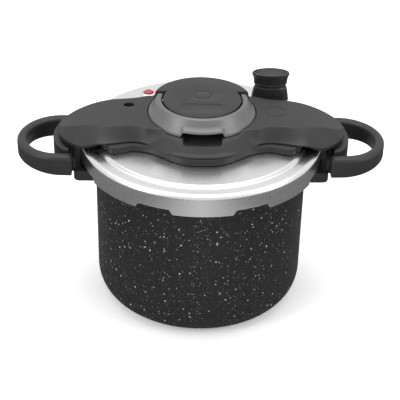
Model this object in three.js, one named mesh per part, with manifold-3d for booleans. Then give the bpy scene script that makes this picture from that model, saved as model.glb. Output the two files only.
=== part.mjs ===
// Stovetop pressure cooker with a turning lid, a bridge across the lid and a folding centre grip.
// Millimetres, +Z up. Z = 0 is the surface it stands on, the Z axis is the pot's axis,
// +X runs through the right side handle, and the front is towards -Y.

import * as THREE from 'three';
import { mergeVertices } from 'three/addons/utils/BufferGeometryUtils.js';
import { ParametricGeometry } from 'three/addons/geometries/ParametricGeometry.js';
import Module from 'manifold-3d';

const wasm = await Module();
wasm.setup();

// ---- driving dimensions ----

const GAP = 0.3;                    // air between pieces that touch
const ROUND = 60;                   // sides of a large circle
const SMALL_ROUND = 20;             // sides of a small circle

// pot
const POT_RADIUS = 113;             // outside of the wall
const POT_WALL = 3;
const POT_FLOOR = 5;
const RIM_HEIGHT = 178;             // top of the pot's rim
const RIM_FLANGE_RADIUS = 116;
const RIM_FLANGE_HEIGHT = 3.5;
const CORNER_WIDTH = 20;            // rounding from wall to bottom
const CORNER_HEIGHT = 27;
const BASE_DISC_RADIUS = 86;
const BASE_DISC_THICKNESS = 1.2;

// bayonet lugs
const LUG_COUNT = 8;
const POT_LUG_HALF_ANGLE = 8;       // degrees
const POT_LUG_RADIUS = 122.5;
const LUG_THICKNESS = 4;
const TAB_HALF_ANGLE = 13.55;       // degrees, the deeper tabs of the skirt
const LID_LUG_INNER_RADIUS = 117.6;
const NOTCH_DEPTH = 5.5;            // between two tabs
const NOTCH_SLOPE = 3.5;            // how far the notch's ends lean

// lid
const LID_RADIUS = 129;
const LID_WALL = 2.5;
const LID_FLAT_RADIUS = 111.4;
const LID_STEP_WIDTH = 3.2;
const LID_STEP_HEIGHT = 2.8;
const SHOULDER_WIDTH = 5;           // rounding from top to skirt
const SHOULDER_HEIGHT = 5.5;
const SKIRT_HEIGHT = 23.5;          // lid ring top to the tabs' lower edge
const GASKET_INNER_RADIUS = 107;
const GASKET_OUTER_RADIUS = 120;
const GASKET_HEIGHT = 6.7;

// bridge
const BASE_THICKNESS = 7.5;         // lower moulding
const BASE_END_RADIUS = 110.4;
const COVER_SPLIT = 0.6;            // visible line between the mouldings
const COVER_TIP = 152;              // half length of the bridge
const COVER_HEIGHT = 12;            // the hub's seat above the split
const SPINE_RISE = 3;               // the cover's flat spine above the seat
const SPINE_LEVEL_END = 60;         // where the spine starts to fall
const SPINE_FALL = 18;              // how much lower the spine is at the tips
const CREASE_HALF_WIDTH = 27.5;     // half the spine's width
const CREASE_FLARE = 9;             // how much wider it is beside the seat
const CREASE_SHIFT = 2;             // the spine lies this much towards the front
const FLANK_HOLLOW = 1.2;           // how far the flanks are hollowed
const COVER_WALL = 2.6;
const NOSE_START = 100;
const NOSE_DROP = 9;                // the tips reach this far below the split
const DROP_START = 104;             // where the lower edge starts to go down
const DROP_END = 128;
const NOSE_CUT_RADIUS = 115.8;
const PEDESTAL_RADIUS = 57.6;       // round seat of the grip
const SHAFT_OPENING = 29;           // opening in the cover under the hub

// hub and grip
const CAP_FRONT_RADIUS = 41;
const CAP_REAR_RADIUS = 52;
const CAP_REAR_FLARE = 4.5;         // the rear half widens this much towards its foot
const CAP_HEIGHT = 17;
const GRIP_INNER_RADIUS = 42.4;
const GRIP_OUTER_RADIUS = 57;
const GRIP_HEIGHT = 17.6;
const GRIP_PIVOT_Y = 9;
const GRIP_END_RADIUS = 8.3;
const GRIP_END_INSIDE = CAP_FRONT_RADIUS + 0.6;
const GRIP_NOTCH_HALF = 20;
const GRIP_NOTCH_HEIGHT = 5.4;
const AXLE_RADIUS = 2.5;
const CAM_RADIUS = 6;
const CAM_HALF_LENGTH = 15;
const CAM_LEAD = 68;                // degrees from straight down to the start of the ramp
const CAM_STEP = 30;                // degrees between the cam's steps

// lock arms
const ARM_TRAVEL = 7;
const ARM_HALF_WIDTH = 7;
const ARM_THICKNESS = 1.5;
const ARM_TIP = 139;
const ARM_TIP_BOTTOM = RIM_HEIGHT + 0.5;
const ARM_STEP_X = 118;             // outside the bridge's base the arm steps down
const ARM_STEP_DROP = 5.7;
const SPRING_POST_X = 74;
const SPRING_SEAT_X = 46;
const SPRING_RADIUS = 2.1;
const SPRING_WIRE = 0.5;

// side handles
const BRACKET_TIP = 157;
const BRACKET_HALF_WIDTH = 34.5;
const BRACKET_FOOT = 134;
const BRACKET_FOOT_HALF_WIDTH = 42;
const BRACKET_BOTTOM = RIM_HEIGHT - 26;
const BRACKET_TOP = RIM_HEIGHT + 8;
const LEDGE_CLEARANCE = 1.2;        // below the lid's skirt
const LID_CLEARANCE_RADIUS = 136;
const TIP_GROOVE_RADIUS = 142.5;
const TIP_GROOVE_BOTTOM = RIM_HEIGHT - 2;
const LOOP_TIP = 195.6;
const LOOP_CENTRE = 150;
const LOOP_HALF_WIDTH = 48;
const LOOP_THICKNESS = 12;
const LOOP_END_THICKNESS = 10.5;
const LOOP_HEIGHT = 24;
const LOOP_BEVEL = 4.6;
const LOOP_ROOT_CORNER = 6;          // rounding of the loop's two inner ends
const LOOP_TAPER = 0.2;             // the loop is this much lower in height at its tip
const PIN_X = 146.5;
const PIN_HEIGHT = RIM_HEIGHT - 6;
const PIN_RADIUS = 2.5;
const STUD_HEIGHT = BRACKET_BOTTOM + 5.2;

// fittings on the lid
const VALVE_X = 76.5;
const VALVE_Y = 66;
const VALVE_RADIUS = 20.8;
const VALVE_WAIST_RADIUS = 18;
const VALVE_SKIRT_LIFT = 4.5;       // skirt's lower edge above the lid
const VALVE_SKIRT_HEIGHT = 16.8;
const VALVE_KNOB_HEIGHT = 16.6;
const VALVE_FLATTENING = 0.5;       // the valve is this much less deep than wide
const PIPE_RADIUS = 4.5;
const INDICATOR_X = -58;
const INDICATOR_Y = 83;
const LOCK_PIN_X = -77;
const LOCK_PIN_Y = 13;
const SAFETY_Y = 93;

// ---- heights that follow from them ----

const POT_BOTTOM = BASE_DISC_THICKNESS + GAP;
const LID_RING_UNDER = RIM_HEIGHT + GASKET_HEIGHT + 2 * GAP;
const LID_RING_TOP = LID_RING_UNDER + LID_WALL;
const LID_TOP = LID_RING_TOP + LID_STEP_HEIGHT;
const LID_UNDER = LID_TOP - LID_WALL;
const SKIRT_BOTTOM = LID_RING_TOP - SKIRT_HEIGHT;
const POT_LUG_BOTTOM = SKIRT_BOTTOM + LUG_THICKNESS + 0.4;
const BASE_BOTTOM = LID_TOP + GAP;
const BASE_TOP = BASE_BOTTOM + BASE_THICKNESS;
const COVER_BOTTOM = BASE_TOP + COVER_SPLIT;
const COVER_TOP = COVER_BOTTOM + COVER_HEIGHT;
const CAP_BOTTOM = COVER_TOP + GAP;
const CAP_TOP = CAP_BOTTOM + CAP_HEIGHT;
const GRIP_PIVOT_Z = CAP_BOTTOM + 8.8;
const ARM_BOTTOM = BASE_TOP + GAP;
const LUG_PITCH = 360 / LUG_COUNT;

// ---- shapes ----

const radians = THREE.MathUtils.degToRad;
const smoothstep = THREE.MathUtils.smoothstep;

// Merges a geometry's vertices, drops empty triangles and turns its faces outwards.
function closed(geometry) {
  geometry.deleteAttribute('normal');
  geometry.deleteAttribute('uv');
  const merged = mergeVertices(geometry, 1e-4);
  const p = merged.attributes.position;
  const a = new THREE.Vector3();
  const b = new THREE.Vector3();
  const c = new THREE.Vector3();
  const kept = [];
  let volume = 0;
  for (let i = 0; i < merged.index.count; i += 3) {
    const [u, v, w] = [0, 1, 2].map((k) => merged.index.getX(i + k));
    if (u === v || v === w || w === u) continue;
    kept.push(u, v, w);
    volume += a.fromBufferAttribute(p, u).dot(b.fromBufferAttribute(p, v).cross(c.fromBufferAttribute(p, w)));
  }
  merged.setIndex(volume < 0 ? kept.reverse() : kept);
  return merged;
}

function solid(geometry) {
  const whole = closed(geometry);
  return new wasm.Manifold(new wasm.Mesh({
    numProp: 3,
    vertProperties: new Float32Array(whole.attributes.position.array),
    triVerts: new Uint32Array(whole.index.array),
  }));
}

function geometryOf(body) {
  const mesh = body.getMesh();
  const geometry = new THREE.BufferGeometry();
  geometry.setAttribute('position', new THREE.BufferAttribute(mesh.vertProperties, 3));
  geometry.setIndex(new THREE.BufferAttribute(mesh.triVerts, 1));
  geometry.computeVertexNormals();
  return geometry;
}

// Turns a profile of [radius, height] points about the Z axis.
function turned(profile, sides = SMALL_ROUND) {
  const points = profile.map(([r, z]) => new THREE.Vector2(r, z));
  return new THREE.LatheGeometry(points, sides).rotateX(Math.PI / 2);
}

// A turned profile that closes on itself instead of reaching the axis.
function ring(profile, sides = SMALL_ROUND) {
  return turned([...profile, profile[0]], sides);
}

function tube(outer, inner, bottom, top, sides = SMALL_ROUND) {
  return ring([[inner, bottom], [outer, bottom], [outer, top], [inner, top]], sides);
}

function rod(radius, bottom, top, sides = SMALL_ROUND) {
  return new THREE.CylinderGeometry(radius, radius, top - bottom, sides)
    .rotateX(Math.PI / 2)
    .translate(0, 0, (bottom + top) / 2);
}

function block(x0, x1, y0, y1, z0, z1) {
  return new THREE.BoxGeometry(x1 - x0, y1 - y0, z1 - z0)
    .translate((x0 + x1) / 2, (y0 + y1) / 2, (z0 + z1) / 2);
}

function shapeOf(points) {
  return new THREE.Shape(points.map(([x, y]) => new THREE.Vector2(x, y)));
}

// A plan outline raised from one height to another, its edges rounded by bevel.
function raised(shape, bottom, top, bevel = 0) {
  return new THREE.ExtrudeGeometry(shape, {
    depth: top - bottom - 2 * bevel,
    bevelEnabled: bevel > 0,
    bevelSize: bevel,
    bevelThickness: bevel,
    bevelOffset: -bevel,
    bevelSegments: 1,
    curveSegments: 10,
  }).translate(0, 0, bottom + bevel);
}

// A side outline in X and Z, drawn out along Y to both sides of the middle.
function drawnAcross(points, halfWidth) {
  return new THREE.ExtrudeGeometry(shapeOf(points), { depth: 2 * halfWidth, bevelEnabled: false })
    .rotateX(Math.PI / 2)
    .translate(0, halfWidth, 0);
}

// A sector of a ring, centred on the front (-Y) and turned by an angle about Z.
function sector(inner, outer, halfAngle, bottom, top, turn = 0, steps = 4) {
  const shape = new THREE.Shape();
  const middle = -Math.PI / 2 + radians(turn);
  const reach = radians(halfAngle);
  const angles = Array.from({ length: steps + 1 }, (_, i) => middle + reach * (2 * i / steps - 1));
  angles.forEach((t, i) => {
    const point = [outer * Math.cos(t), outer * Math.sin(t)];
    if (i) shape.lineTo(...point);
    else shape.moveTo(...point);
  });
  angles.reverse().forEach((t) => shape.lineTo(inner * Math.cos(t), inner * Math.sin(t)));
  return raised(shape, bottom, top);
}

function coil(radius, wire, length, turns) {
  class Helix extends THREE.Curve {
    getPoint(t, target = new THREE.Vector3()) {
      const angle = 2 * Math.PI * turns * t;
      return target.set(radius * Math.cos(angle), radius * Math.sin(angle), length * t);
    }
  }
  const section = new THREE.Shape();
  section.moveTo(wire, 0);
  section.lineTo(0, wire);
  section.lineTo(-wire, 0);
  section.lineTo(0, -wire);
  return new THREE.ExtrudeGeometry(section, {
    steps: turns * 8,
    curveSegments: 4,
    bevelEnabled: false,
    extrudePath: new Helix(),
  });
}

const group = new THREE.Group();

function add(name, geometry, look, place = [0, 0, 0]) {
  const material = new THREE.MeshStandardMaterial(look);
  const mesh = new THREE.Mesh(closed(geometry), material);
  mesh.name = name;
  mesh.position.set(...place);
  group.add(mesh);
}

const COATING = { color: 0x2c2c2e, roughness: 0.55, metalness: 0.2 };
const BRIGHT_STEEL = { color: 0xd6d6d6, roughness: 0.2, metalness: 1 };
const SPRING_STEEL = { color: 0x9a9a9c, roughness: 0.35, metalness: 1 };
const BLACK_PLASTIC = { color: 0x1f1f20, roughness: 0.5, metalness: 0 };
const SATIN_GREY = { color: 0x8a8a8a, roughness: 0.35, metalness: 0.6 };
const RED_PLASTIC = { color: 0xb0304a, roughness: 0.4, metalness: 0 };
const SILICONE = { color: 0xb8b8b4, roughness: 0.6, metalness: 0 };
const BRASS = { color: 0xb08d4a, roughness: 0.3, metalness: 1 };

// ---- pot ----

// Points of the rounded corner from the floor to the wall, inset by the wall's thickness.
function cornerPoints(inset, floorHeight, steps = 4) {
  const width = CORNER_WIDTH - inset / 2;
  const height = CORNER_HEIGHT - inset;
  const wallRadius = POT_RADIUS - inset;
  return Array.from({ length: steps + 1 }, (_, i) => {
    const t = (Math.PI / 2) * i / steps;
    return [wallRadius - width * (1 - Math.sin(t)), floorHeight + height * (1 - Math.cos(t))];
  });
}

function potBody() {
  const inner = POT_RADIUS - POT_WALL;
  const flangeBottom = RIM_HEIGHT - RIM_FLANGE_HEIGHT;
  const shell = turned([
    [0, POT_BOTTOM],
    ...cornerPoints(0, POT_BOTTOM),
    [POT_RADIUS, flangeBottom - 2],
    [RIM_FLANGE_RADIUS, flangeBottom],
    [RIM_FLANGE_RADIUS, RIM_HEIGHT - 0.8],
    [RIM_FLANGE_RADIUS - 0.8, RIM_HEIGHT],
    [inner, RIM_HEIGHT],
    ...cornerPoints(POT_WALL, POT_BOTTOM + POT_FLOOR).reverse(),
    [0, POT_BOTTOM + POT_FLOOR],
  ], ROUND);
  let pot = solid(shell);
  for (let i = 0; i < LUG_COUNT; i += 1) {
    const lug = sector(POT_RADIUS - 1, POT_LUG_RADIUS, POT_LUG_HALF_ANGLE,
      POT_LUG_BOTTOM, POT_LUG_BOTTOM + LUG_THICKNESS, i * LUG_PITCH, 2);
    pot = pot.add(solid(lug));
  }
  return geometryOf(pot);
}

// ---- side handles, drawn for the right side and mirrored for the left ----

function mirrored(geometry, side) {
  return side < 0 ? geometry.rotateZ(Math.PI) : geometry;
}

function bracket() {
  const ledge = SKIRT_BOTTOM - LEDGE_CLEARANCE;
  const foot = raised(shapeOf([
    [POT_RADIUS - 20, -BRACKET_FOOT_HALF_WIDTH], [BRACKET_FOOT - 8, -BRACKET_FOOT_HALF_WIDTH],
    [BRACKET_FOOT, -BRACKET_FOOT_HALF_WIDTH + 8], [BRACKET_FOOT, BRACKET_FOOT_HALF_WIDTH - 8],
    [BRACKET_FOOT - 8, BRACKET_FOOT_HALF_WIDTH], [POT_RADIUS - 20, BRACKET_FOOT_HALF_WIDTH],
  ]), BRACKET_BOTTOM, ledge);
  const nose = new THREE.Shape();
  nose.moveTo(POT_RADIUS, -BRACKET_HALF_WIDTH);
  nose.lineTo(BRACKET_TIP - 18, -BRACKET_HALF_WIDTH);
  nose.absellipse(BRACKET_TIP - 18, 0, 18, BRACKET_HALF_WIDTH, -Math.PI / 2, Math.PI / 2);
  nose.lineTo(POT_RADIUS, BRACKET_HALF_WIDTH);
  const upper = raised(nose, ledge - 4, BRACKET_TOP, 1.2);
  return solid(foot)
    .add(solid(upper))
    .subtract(solid(rod(POT_RADIUS + GAP + 0.1, 0, 2 * RIM_HEIGHT, ROUND)))
    .subtract(solid(rod(LID_CLEARANCE_RADIUS, ledge, 2 * RIM_HEIGHT, ROUND)))
    .subtract(solid(rod(TIP_GROOVE_RADIUS, TIP_GROOVE_BOTTOM, 2 * RIM_HEIGHT, ROUND)))
    .subtract(solid(rod(PIN_RADIUS + GAP, -60, 60).rotateX(Math.PI / 2).translate(PIN_X, 0, PIN_HEIGHT)))
    .subtract(solid(studHole()));
}

// The hole for stud and screw, with a counterbore for the screw's head.
function studHole() {
  const profile = [
    [0, POT_RADIUS], [4.5 + GAP, POT_RADIUS], [4.5 + GAP, 121], [2 + GAP, 121],
    [2 + GAP, 129], [4 + GAP, 129], [4 + GAP, BRACKET_TIP], [0, BRACKET_TIP],
  ];
  return alongX(turned(profile, 12), STUD_HEIGHT);
}

function alongX(geometry, height) {
  return geometry.rotateY(Math.PI / 2).translate(0, 0, height);
}

function bracketStud() {
  const start = POT_RADIUS + GAP;
  return alongX(turned([[0, start], [4.5, start], [4.5, 120.7], [0, 120.7]], 12), STUD_HEIGHT);
}

function bracketScrew() {
  const seat = 129 + GAP;
  return alongX(turned([[0, 121], [2, 121], [2, seat], [4, seat], [4, 132], [0, 132]], 12), STUD_HEIGHT);
}

function handleLoop() {
  const inner = LOOP_HALF_WIDTH - LOOP_THICKNESS;
  const root = PIN_X - LOOP_HEIGHT / 2;
  const plan = new THREE.Shape();
  plan.moveTo(root, -LOOP_HALF_WIDTH);
  plan.lineTo(LOOP_CENTRE, -LOOP_HALF_WIDTH);
  plan.absellipse(LOOP_CENTRE, 0, LOOP_TIP - LOOP_CENTRE, LOOP_HALF_WIDTH, -Math.PI / 2, Math.PI / 2);
  plan.lineTo(root, LOOP_HALF_WIDTH);
  plan.lineTo(root, inner);
  plan.lineTo(LOOP_CENTRE, inner);
  const innerReach = LOOP_TIP - LOOP_CENTRE - LOOP_END_THICKNESS;
  plan.absellipse(LOOP_CENTRE, 0, innerReach, inner, Math.PI / 2, -Math.PI / 2, true);
  plan.lineTo(root, -inner);
  const half = LOOP_HEIGHT / 2;
  const loop = new THREE.ExtrudeGeometry(plan, {
    depth: LOOP_HEIGHT - 2 * LOOP_BEVEL,
    curveSegments: 11,
    bevelSize: LOOP_BEVEL,
    bevelThickness: LOOP_BEVEL,
    bevelOffset: -LOOP_BEVEL,
    bevelSegments: 2,
  }).translate(0, 0, PIN_HEIGHT - half + LOOP_BEVEL);
  const positions = loop.attributes.position;
  for (let i = 0; i < positions.count; i += 1) {
    const along = (positions.getX(i) - PIN_X) / (LOOP_TIP - PIN_X);
    const drop = PIN_HEIGHT + half - positions.getZ(i);
    positions.setZ(i, PIN_HEIGHT + half - drop * (1 - LOOP_TAPER * Math.max(0, along)));
  }
  const flat = half - LOOP_ROOT_CORNER;
  const rootCurve = Array.from({ length: 10 }, (_, i) => {
    const t = Math.PI / 2 + Math.PI / 2 * ((i % 5) / 4 + (i < 5 ? 0 : 1));
    const middle = PIN_HEIGHT + (i < 5 ? flat : -flat);
    return [PIN_X - flat + LOOP_ROOT_CORNER * Math.cos(t), middle + LOOP_ROOT_CORNER * Math.sin(t)];
  });
  const side = drawnAcross([
    ...rootCurve,
    [LOOP_TIP + 1, PIN_HEIGHT - half],
    [LOOP_TIP + 1, PIN_HEIGHT + half],
  ], LOOP_HALF_WIDTH + 1);
  const bore = rod(PIN_RADIUS + GAP, -LOOP_HALF_WIDTH + 3, LOOP_HALF_WIDTH - 3, 12)
    .rotateX(Math.PI / 2)
    .translate(PIN_X, 0, PIN_HEIGHT);
  return geometryOf(solid(loop).intersect(solid(side)).subtract(solid(bore)));
}

function handlePin() {
  const half = LOOP_HALF_WIDTH - 3.6;
  return rod(PIN_RADIUS, -half, half, 12).rotateX(Math.PI / 2).translate(PIN_X, 0, PIN_HEIGHT);
}

// ---- lid ----

function lidShell() {
  const inner = LID_RADIUS - LID_WALL;
  const stepRadius = LID_FLAT_RADIUS + LID_STEP_WIDTH;
  const shoulder = (radius, height, width, drop, steps) => Array.from({ length: steps + 1 }, (_, i) => {
    const t = (Math.PI / 2) * i / steps;
    return [radius - width * (1 - Math.sin(t)), height - drop * (1 - Math.cos(t))];
  });
  const shell = turned([
    [0, LID_TOP],
    [LID_FLAT_RADIUS, LID_TOP],
    [stepRadius, LID_RING_TOP + 0.3],
    ...shoulder(LID_RADIUS, LID_RING_TOP, SHOULDER_WIDTH, SHOULDER_HEIGHT, 3),
    [LID_RADIUS, SKIRT_BOTTOM],
    [inner, SKIRT_BOTTOM],
    ...shoulder(inner, LID_RING_UNDER, SHOULDER_WIDTH - LID_WALL, SHOULDER_HEIGHT - LID_WALL, 2).reverse(),
    [stepRadius - LID_WALL, LID_RING_UNDER],
    [LID_FLAT_RADIUS - LID_WALL, LID_UNDER],
    [0, LID_UNDER],
  ], ROUND + 4);
  let lid = solid(shell);
  for (let i = 0; i < LUG_COUNT; i += 1) {
    lid = lid.subtract(solid(skirtNotch((i + 0.5) * LUG_PITCH)));
    const lug = sector(LID_LUG_INNER_RADIUS, inner + 1, TAB_HALF_ANGLE - 0.6,
      SKIRT_BOTTOM, SKIRT_BOTTOM + LUG_THICKNESS, i * LUG_PITCH, 3);
    lid = lid.add(solid(lug));
  }
  for (const [x, y, radius] of lidHoles()) {
    lid = lid.subtract(solid(rod(radius, LID_UNDER - 1, LID_TOP + 1, 16).translate(x, y, 0)));
  }
  return geometryOf(lid);
}

// A notch in the skirt between two tabs, with leaning ends.
function skirtNotch(turn) {
  const half = radians(LUG_PITCH / 2 - TAB_HALF_ANGLE) * LID_RADIUS;
  const low = SKIRT_BOTTOM - 1;
  const high = SKIRT_BOTTOM + NOTCH_DEPTH;
  const outline = [
    [-half - 1, low], [half + 1, low], [half, SKIRT_BOTTOM], [half - NOTCH_SLOPE, high],
    [-half + NOTCH_SLOPE, high], [-half, SKIRT_BOTTOM],
  ];
  return drawnAcross(outline, 8).translate(0, -LID_RADIUS, 0).rotateZ(radians(turn));
}

const BRIDGE_SCREWS = [[-46, -24], [46, -24], [-46, 24], [46, 24]];
const COVER_SCREWS = [[-95, -20], [95, -20], [-95, 20], [95, 20]];
const SCREW_RADIUS = 2;

function lidHoles() {
  return [
    ...BRIDGE_SCREWS.map(([x, y]) => [x, y, SCREW_RADIUS + GAP]),
    [VALVE_X, VALVE_Y, PIPE_RADIUS + GAP],
    [INDICATOR_X, INDICATOR_Y, 4 + GAP],
    [LOCK_PIN_X, LOCK_PIN_Y, 4 + GAP],
    [0, SAFETY_Y, 4.6 + GAP],
  ];
}

function gasket() {
  const bottom = RIM_HEIGHT + GAP;
  const top = bottom + GASKET_HEIGHT;
  return ring([
    [GASKET_INNER_RADIUS + 2, bottom],
    [GASKET_OUTER_RADIUS - 1, bottom],
    [GASKET_OUTER_RADIUS, bottom + 1.2],
    [GASKET_OUTER_RADIUS, top],
    [POT_RADIUS + 2, top],
    [GASKET_INNER_RADIUS, bottom + 2.5],
  ], ROUND);
}

// ---- bridge ----

// Half width of the cover at a place along the bridge: a round bulge, a waist, a lobe and a nose.
function coverHalfWidth(x) {
  const along = Math.abs(x);
  const bulge = 35 * Math.exp(-((along / 47.4) ** 3.1));
  const lobe = 8 * smoothstep(along, 62, 108);
  const t = Math.max(0, (along - NOSE_START) / (COVER_TIP - NOSE_START));
  return (40 + bulge + lobe) * Math.sqrt(Math.max(0, 1 - t ** 1.8));
}

// Height of the flat spine that runs along the cover.
function spineHeight(x) {
  const run = Math.max(0, Math.abs(x) - SPINE_LEVEL_END) / (COVER_TIP - SPINE_LEVEL_END);
  return COVER_TOP + SPINE_RISE - SPINE_FALL * run ** 3;
}

// Half width of the spine: wider beside the seat, and to a point at the tips.
function spineHalfWidth(x) {
  const along = Math.abs(x);
  const flare = CREASE_FLARE * Math.exp(-Math.max(0, along - PEDESTAL_RADIUS) / 14);
  const nose = Math.max(0, (along - 95) / (COVER_TIP - 97));
  return (CREASE_HALF_WIDTH + flare) * Math.sqrt(Math.max(0, 1 - nose ** 1.4));
}

// The cover's outer form, or its inside when inset by the wall.
function coverForm(inset, stations) {
  const tip = COVER_TIP - inset;
  const section = (u, v, target) => {
    const x = tip * Math.sin(Math.PI * (u - 0.5));
    const place = x * COVER_TIP / tip;
    const scale = Math.abs(x) > tip - 1e-6 ? 0 : 1;
    const half = scale * Math.max(0.6, coverHalfWidth(place) - inset);
    const crease = scale * Math.max(0.3, spineHalfWidth(place) - inset / 3);
    const top = spineHeight(place) - inset;
    const drop = smoothstep(Math.abs(x), DROP_START, DROP_END);
    const bottom = COVER_BOTTOM - 1 - (NOSE_DROP - 1) * drop - inset;
    const edge = COVER_BOTTOM + 1.2 - 7 * drop - inset / 2;
    const middle = (top + edge) / 2 - FLANK_HOLLOW * (1 - smoothstep(Math.abs(x), 110, 140));
    const side = [[half, bottom], [half, edge], [(half + crease) / 2, middle], [crease, top]];
    const shift = CREASE_SHIFT * Math.min(1, crease / CREASE_HALF_WIDTH);
    side[3][0] -= shift;
    const front = [[-half, bottom], [-half, edge], [-(half + crease) / 2, middle], [-crease - shift, top]];
    const points = [...side, ...front.reverse()];
    const [y, z] = points[Math.round(v * points.length) % points.length];
    target.set(x, y, z);
  };
  return new ParametricGeometry(section, stations, 8);
}

function bridgeCover() {
  const pedestal = turned([
    [0, COVER_BOTTOM - 0.01],
    [74, COVER_BOTTOM - 0.01],
    [67, COVER_BOTTOM + 6],
    [61, COVER_TOP - 1.5],
    [PEDESTAL_RADIUS, COVER_TOP],
    [0, COVER_TOP],
  ], 48);
  const hollow = turned([
    [0, COVER_BOTTOM - 2],
    [70, COVER_BOTTOM - 2],
    [64, COVER_BOTTOM + 4],
    [57, COVER_TOP - COVER_WALL],
    [0, COVER_TOP - COVER_WALL],
  ], 32);
  const core = rod(PEDESTAL_RADIUS + COVER_WALL, 0, 2 * COVER_TOP, 48);
  const inside = solid(coverForm(COVER_WALL, 20)).subtract(solid(core));
  let cover = solid(coverForm(0, 32))
    .add(solid(pedestal))
    .subtract(solid(rod(PEDESTAL_RADIUS, COVER_TOP, 2 * COVER_TOP, 48)))
    .subtract(inside)
    .subtract(solid(hollow))
    .subtract(solid(rod(NOSE_CUT_RADIUS, BASE_BOTTOM - 40, COVER_BOTTOM, ROUND)))
    .subtract(solid(rod(SHAFT_OPENING, COVER_BOTTOM, COVER_TOP + 1, 24)));
  for (const [x, y] of COVER_SCREWS) {
    const boss = tube(4.2, SCREW_RADIUS + GAP, COVER_BOTTOM, spineHeight(x) - 1.5, 12);
    cover = cover.add(solid(boss.translate(x, y, 0)));
  }
  const pinHole = rod(5.9, COVER_BOTTOM - 1, 2 * COVER_TOP, 16).scale(1, 0.75, 1);
  cover = cover.subtract(solid(pinHole.translate(LOCK_PIN_X, LOCK_PIN_Y, 0)));
  return geometryOf(cover.subtract(solid(fingerRecess())));
}

// The hollow in the cover's front where fingers reach under the grip.
function fingerRecess() {
  const points = [[-40, COVER_TOP + 2], [-40, COVER_TOP - 2.2], [-62, COVER_TOP - 5.5], [-80, COVER_TOP + 2]];
  return new THREE.ExtrudeGeometry(shapeOf(points), { depth: 2 * GRIP_NOTCH_HALF, bevelEnabled: false })
    .rotateX(Math.PI / 2)
    .rotateZ(Math.PI / 2)
    .translate(-GRIP_NOTCH_HALF, 0, 0);
}

// Half width of the lower moulding, with its end corners rounded off.
function baseHalfWidth(x) {
  const along = Math.abs(x);
  const corner = Math.min(1, Math.max(0, along - 90) / 8);
  const rounding = 8 * (1 - Math.sqrt(1 - corner ** 2));
  return 46 + 30 * Math.exp(-((along / 44) ** 3)) + 7 * smoothstep(along, 68, 92) - rounding;
}

function bridgeBase() {
  const steps = 24;
  const front = Array.from({ length: steps + 1 }, (_, i) => {
    const x = BASE_END_RADIUS * (2 * i / steps - 1);
    return [x, -baseHalfWidth(x)];
  });
  const back = front.map(([x]) => [x, coverHalfWidth(x) - 1.5]).reverse();
  const plate = solid(raised(shapeOf([...front, ...back]), BASE_BOTTOM, BASE_TOP, 1))
    .intersect(solid(rod(BASE_END_RADIUS, 0, 2 * LID_TOP, ROUND)));
  let base = plate;
  for (const side of [-1, 1]) {
    base = base.add(solid(springPost(side)));
  }
  for (const [x, y] of BRIDGE_SCREWS) {
    const hole = rod(SCREW_RADIUS + GAP, BASE_BOTTOM - 1, BASE_TOP - 1, 12);
    base = base.subtract(solid(hole.translate(x, y, 0)));
  }
  for (const [x, y] of COVER_SCREWS) {
    const hole = turned([
      [0, BASE_BOTTOM - 1], [4 + GAP, BASE_BOTTOM - 1], [4 + GAP, BASE_BOTTOM + 2.6],
      [SCREW_RADIUS + GAP, BASE_BOTTOM + 2.6], [SCREW_RADIUS + GAP, BASE_TOP + 1], [0, BASE_TOP + 1],
    ], 12);
    base = base.subtract(solid(hole.translate(x, y, 0)));
  }
  const bushHole = rod(4 + GAP, BASE_BOTTOM - 1, BASE_TOP + 1, 16).translate(LOCK_PIN_X, LOCK_PIN_Y, 0);
  return geometryOf(base.subtract(solid(bushHole)));
}

function springPost(side) {
  const x = side * (SPRING_POST_X + 1);
  return block(x - 1, x + 1, -2.6, 2.6, BASE_TOP - 1, BASE_TOP + 5.2);
}

function screw(headRadius, bottom, headTop, top) {
  return turned([[0, bottom], [headRadius, bottom], [headRadius, headTop],
    [SCREW_RADIUS, headTop], [SCREW_RADIUS, top], [0, top]], 12);
}

// ---- hub and grip ----

function hubCap() {
  const capOf = (radius, flare) => turned([
    [0, CAP_BOTTOM],
    [radius + flare, CAP_BOTTOM],
    [radius, CAP_TOP - 1.5],
    [radius - 1.5, CAP_TOP - 0.3],
    [radius - 4, CAP_TOP],
    [0, CAP_TOP],
  ], 48);
  const rearStart = GRIP_PIVOT_Y + GRIP_END_RADIUS + 1;
  const rear = solid(capOf(CAP_REAR_RADIUS, CAP_REAR_FLARE))
    .intersect(solid(block(-60, 60, rearStart, 60, 0, 2 * CAP_TOP)));
  const hollow = rod(SHAFT_OPENING, CAP_BOTTOM - 1, GRIP_PIVOT_Z + CAM_RADIUS + GAP, 24);
  const bore = alongX(rod(AXLE_RADIUS + GAP, -60, 60, 12), GRIP_PIVOT_Z).translate(0, GRIP_PIVOT_Y, 0);
  const cap = solid(capOf(CAP_FRONT_RADIUS, 0)).add(rear);
  return geometryOf(cap.subtract(solid(hollow)).subtract(solid(bore)));
}

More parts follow.
